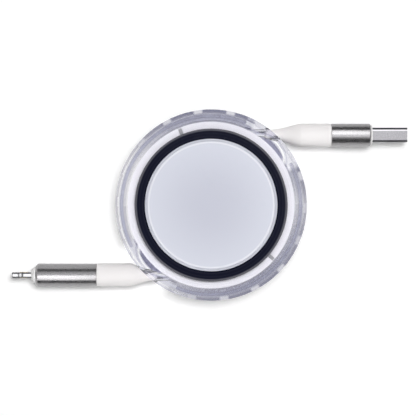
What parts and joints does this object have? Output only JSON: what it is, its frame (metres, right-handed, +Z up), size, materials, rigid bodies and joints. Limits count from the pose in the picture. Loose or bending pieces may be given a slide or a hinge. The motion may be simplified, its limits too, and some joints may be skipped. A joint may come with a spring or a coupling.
{
  "type": "retractable charging cable",
  "caption": "Clear round case with a sprung reel inside; a flat cable pulls out both ways, ending in a charger plug and a slim device plug, and winds back in.",
  "frame": {"origin": "on the reel's axis, at the lower face of the case", "axes": "+Z up along the reel's axis, +X along the charger plug, -X along the device plug"},
  "size_m": [0.1246, 0.06, 0.016],
  "materials": {
    "clear_plastic": "clear polished",
    "white_disc": "satin white",
    "black_ring": "gloss black",
    "screw_steel": "plain steel",
    "white_reel": "moulded white",
    "white_cable": "soft white jacket",
    "spring_steel": "rolled spring steel",
    "ball_steel": "polished steel",
    "white_boot": "satin white",
    "brushed_sleeve": "brushed",
    "white_core": "moulded white",
    "plug_shell": "nickel plated",
    "plug_tongue": "moulded white",
    "gold_contact": "gold plated",
    "plug_tab": "nickel plated"
  },
  "bodies": {
    "case": {"case_bottom": "clear_plastic", "case_top": "clear_plastic", "top_disc": "white_disc", "top_ring": "black_ring", "bottom_disc": "white_disc", "bottom_ring": "black_ring", "centre_screw": "screw_steel"},
    "reel": {"reel": "white_reel", "reel_cap": "white_reel", "cable_coil": "white_cable", "power_spring": "spring_steel"},
    "latch": {"latch_ball": "ball_steel"},
    "charger_plug": {"charger_boot": "white_boot", "charger_sleeve": "brushed_sleeve", "charger_core": "white_core", "charger_shell": "plug_shell", "charger_tongue": "plug_tongue", "charger_contacts": "gold_contact", "charger_lead": "white_cable"},
    "device_plug": {"device_boot": "white_boot", "device_sleeve": "brushed_sleeve", "device_core": "white_core", "device_tab": "plug_tab", "device_contacts": "gold_contact", "device_lead": "white_cable"}
  },
  "joints": [
    {"name": "reel_spin", "type": "hinge", "parent": "case", "child": "reel", "pos_m": [0, 0, 0.008], "axis": [0, 0, -1], "range_deg": [0, 1080], "stiffness_Nm_per_rad": 0.0005, "springref_deg": -1718.87, "deforming": ["power_spring"]},
    {"name": "charger_pull", "type": "slide", "parent": "case", "child": "charger_plug", "axis": [1, 0, 0], "range_m": [0, 0.4223], "deforming": ["charger_lead"]},
    {"name": "device_pull", "type": "slide", "parent": "case", "child": "device_plug", "axis": [-1, 0, 0], "range_m": [0, 0.4223], "deforming": ["device_lead"]},
    {"name": "latch_slide", "type": "slide", "parent": "case", "child": "latch", "axis": [-1, 0, 0], "range_m": [0, 0.0018]}
  ],
  "couplings": [
    {"joint": "charger_pull", "follows": "reel_spin", "m_per_rad": 0.0224},
    {"joint": "device_pull", "follows": "reel_spin", "m_per_rad": 0.0224}
  ]
}
